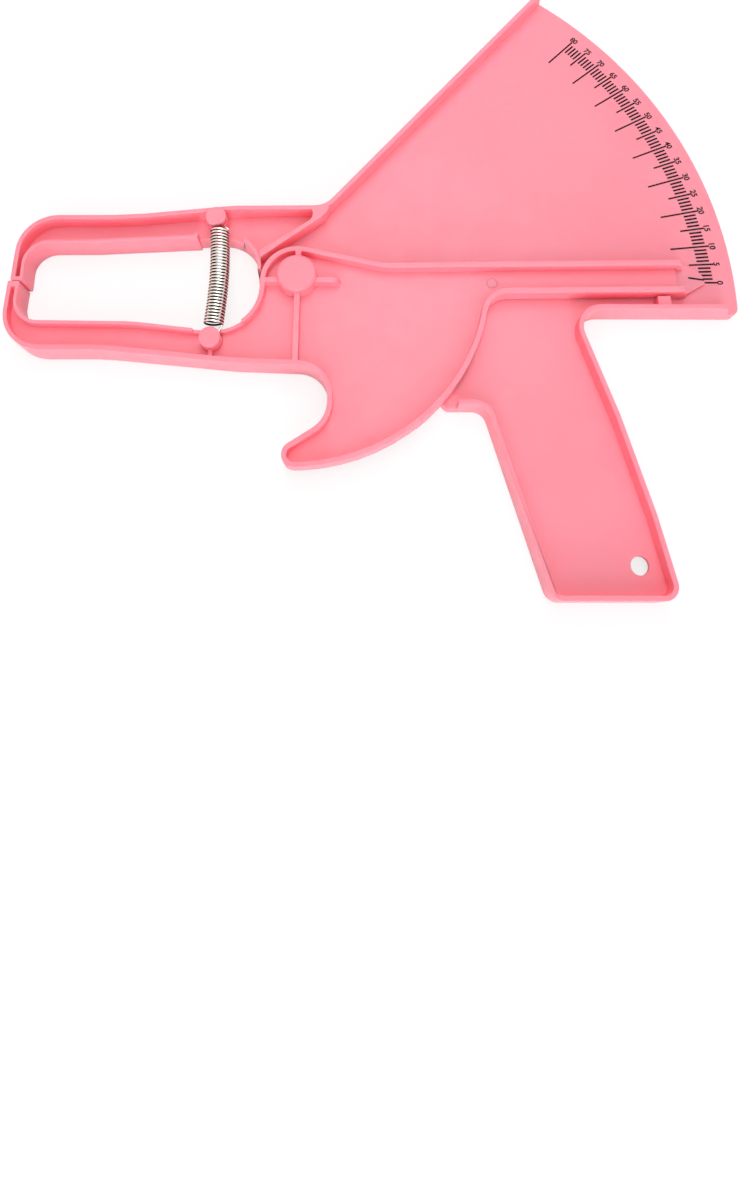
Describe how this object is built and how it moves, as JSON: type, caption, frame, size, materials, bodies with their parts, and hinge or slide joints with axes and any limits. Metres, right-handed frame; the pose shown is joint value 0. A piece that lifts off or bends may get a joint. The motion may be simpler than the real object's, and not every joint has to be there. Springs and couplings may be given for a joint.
{
  "type": "skinfold caliper",
  "caption": "Flat plastic skinfold caliper with curved jaws, a squeeze trigger and pistol grip, a pointer over a quadrant scale, and a tension spring that closes the jaws.",
  "frame": {"origin": "middle of the footprint on the back plane; the pivot axis stands at x -30.4 mm, y -8.8 mm", "axes": "+X from the jaws to the scale along the closed pointer arm, +Y from the grip to the scale's top, +Z out of the ribbed front faces; the caliper lies on its back"},
  "size_m": [0.2796, 0.2528, 0.0148],
  "materials": {
    "pink_plastic": "smooth moulded, semi-matte",
    "spring_steel": "bright drawn wire",
    "plated_steel": "bright zinc plate"
  },
  "bodies": {
    "frame": {"frame": "pink_plastic", "pivot_washer": "plated_steel", "tension_spring": "spring_steel"},
    "lever": {"lever": "pink_plastic", "pivot_screw": "plated_steel"}
  },
  "joints": [
    {"name": "lever_pivot", "type": "hinge", "parent": "frame", "child": "lever", "pos_m": [-0.03043, -0.00877, 0], "axis": [0, 0, 1], "range_deg": [0, 44.4], "stiffness_Nm_per_rad": 0.18, "springref_deg": -50.42, "deforming": ["tension_spring"]}
  ]
}
